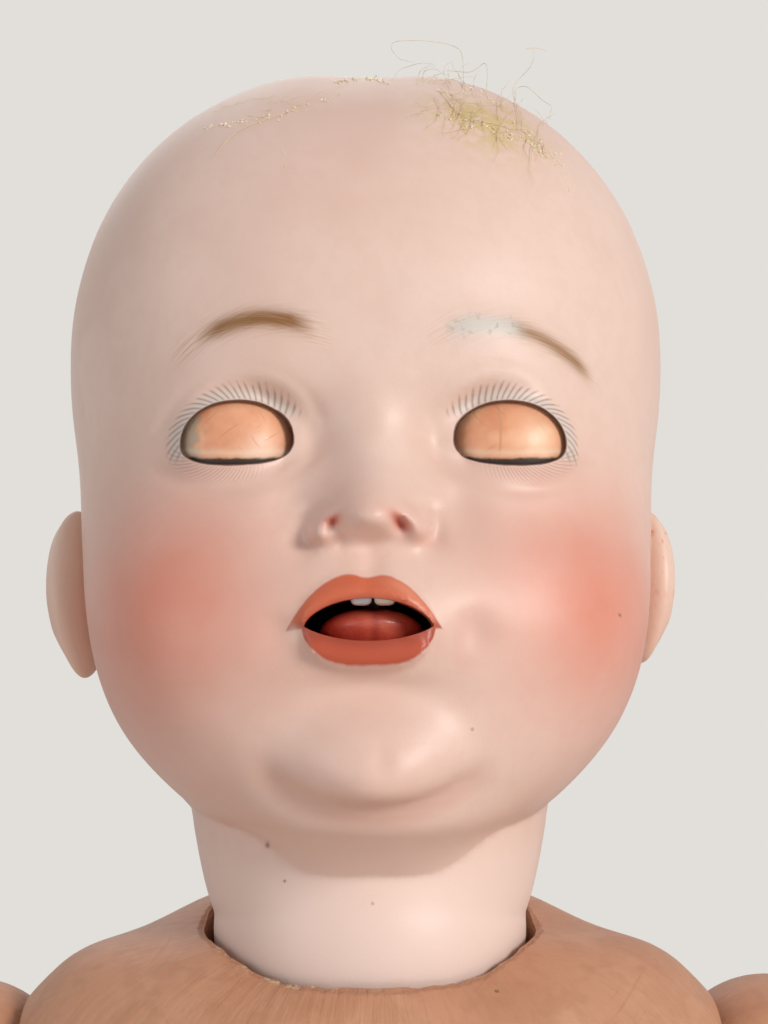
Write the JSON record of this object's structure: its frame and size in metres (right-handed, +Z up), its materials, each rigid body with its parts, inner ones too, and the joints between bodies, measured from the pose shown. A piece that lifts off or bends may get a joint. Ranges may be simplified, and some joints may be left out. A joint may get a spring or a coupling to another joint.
{
  "type": "bisque head baby doll",
  "caption": "Jointed baby doll with a turning bisque head, sleeping glass eyes, an open mouth and a strung, bent-limb composition body that sits by itself.",
  "frame": {"origin": "middle of the sitting doll's footprint, on the plane that it sits on", "axes": "+Z up through the body and head, the face looks along -Y, +X to the doll's left"},
  "size_m": [0.2342, 0.2716, 0.4205],
  "materials": {
    "bisque": "satin unglazed bisque, painted",
    "pate_cardboard": "pressed board",
    "eye_glass": "polished blown glass, opaque",
    "lid_wax": "waxed eyelid coat over glass",
    "steel_wire": "plain steel wire",
    "lead": "cast lead",
    "plaster": "plaster of Paris",
    "cork": "cork",
    "tooth_enamel": "glazed",
    "tongue_paint": "painted, semi-gloss",
    "beech": "turned beech",
    "liner_leather": "undyed kid leather",
    "composition": "painted and varnished composition",
    "elastic": "cotton-covered elastic"
  },
  "bodies": {
    "torso": {"torso_front": "composition", "torso_back": "composition", "arm_elastic": "elastic", "leg_elastic": "elastic"},
    "neck_core": {"neck_plug": "beech", "neck_washer": "steel_wire", "neck_hook": "steel_wire"},
    "neck_liner": {"neck_liner": "liner_leather"},
    "head": {"head": "bisque", "pate": "pate_cardboard", "eye_seat_left": "plaster", "eye_seat_right": "plaster", "weight_stop": "cork", "tongue_pad": "plaster", "tooth_left": "tooth_enamel", "tooth_right": "tooth_enamel"},
    "eyes": {"eye_left": "eye_glass", "eye_right": "eye_glass", "lid_left": "lid_wax", "lid_right": "lid_wax", "eye_bridge": "steel_wire", "weight_arm": "steel_wire", "lead_weight": "lead"},
    "tongue": {"tongue": "tongue_paint", "tongue_spring": "steel_wire"},
    "arm_left": {"arm_left": "composition", "shoulder_plug_left": "beech", "shoulder_hook_left": "steel_wire"},
    "arm_right": {"arm_right": "composition", "shoulder_plug_right": "beech", "shoulder_hook_right": "steel_wire"},
    "leg_left": {"leg_left": "composition", "hip_plug_left": "beech", "hip_hook_left": "steel_wire"},
    "leg_right": {"leg_right": "composition", "hip_plug_right": "beech", "hip_hook_right": "steel_wire"}
  },
  "joints": [
    {"name": "neck_turn", "type": "hinge", "parent": "torso", "child": "neck_core", "pos_m": [0, 0.03152, 0.225], "axis": [0, 0, 1], "range_deg": [-80, 80], "deforming": ["leg_elastic"]},
    {"name": "neck_nod", "type": "hinge", "parent": "neck_core", "child": "neck_liner", "pos_m": [0, 0.03152, 0.225], "axis": [1, 0, 0], "range_deg": [-2, 20]},
    {"name": "neck_tilt", "type": "hinge", "parent": "neck_liner", "child": "head", "pos_m": [0, 0.03152, 0.225], "axis": [0, 1, 0], "range_deg": [-6, 6]},
    {"name": "eyes_sleep", "type": "hinge", "parent": "head", "child": "eyes", "pos_m": [0, 0.00382, 0.33026], "axis": [-1, 0, 0], "range_deg": [0, 75]},
    {"name": "tongue_wobble", "type": "hinge", "parent": "head", "child": "tongue", "pos_m": [0, -0.00617, 0.30881], "axis": [1, 0, 0], "range_deg": [-3, 3], "stiffness_Nm_per_rad": 0.03},
    {"name": "shoulder_left", "type": "hinge", "parent": "torso", "child": "arm_left", "pos_m": [0.076, 0.03152, 0.189], "axis": [-1, 0, 0], "range_deg": [-30, 150], "deforming": ["arm_elastic"]},
    {"name": "shoulder_right", "type": "hinge", "parent": "torso", "child": "arm_right", "pos_m": [-0.076, 0.03152, 0.189], "axis": [-1, 0, 0], "range_deg": [-30, 150], "deforming": ["arm_elastic"]},
    {"name": "hip_left", "type": "hinge", "parent": "torso", "child": "leg_left", "pos_m": [0.0534, 0.03152, 0.03584], "axis": [-0.9703, 0, 0.2419], "range_deg": [-60, 30], "deforming": ["leg_elastic"]},
    {"name": "hip_right", "type": "hinge", "parent": "torso", "child": "leg_right", "pos_m": [-0.0534, 0.03152, 0.03584], "axis": [-0.9703, 0, -0.2419], "range_deg": [-60, 30], "deforming": ["leg_elastic"]}
  ]
}
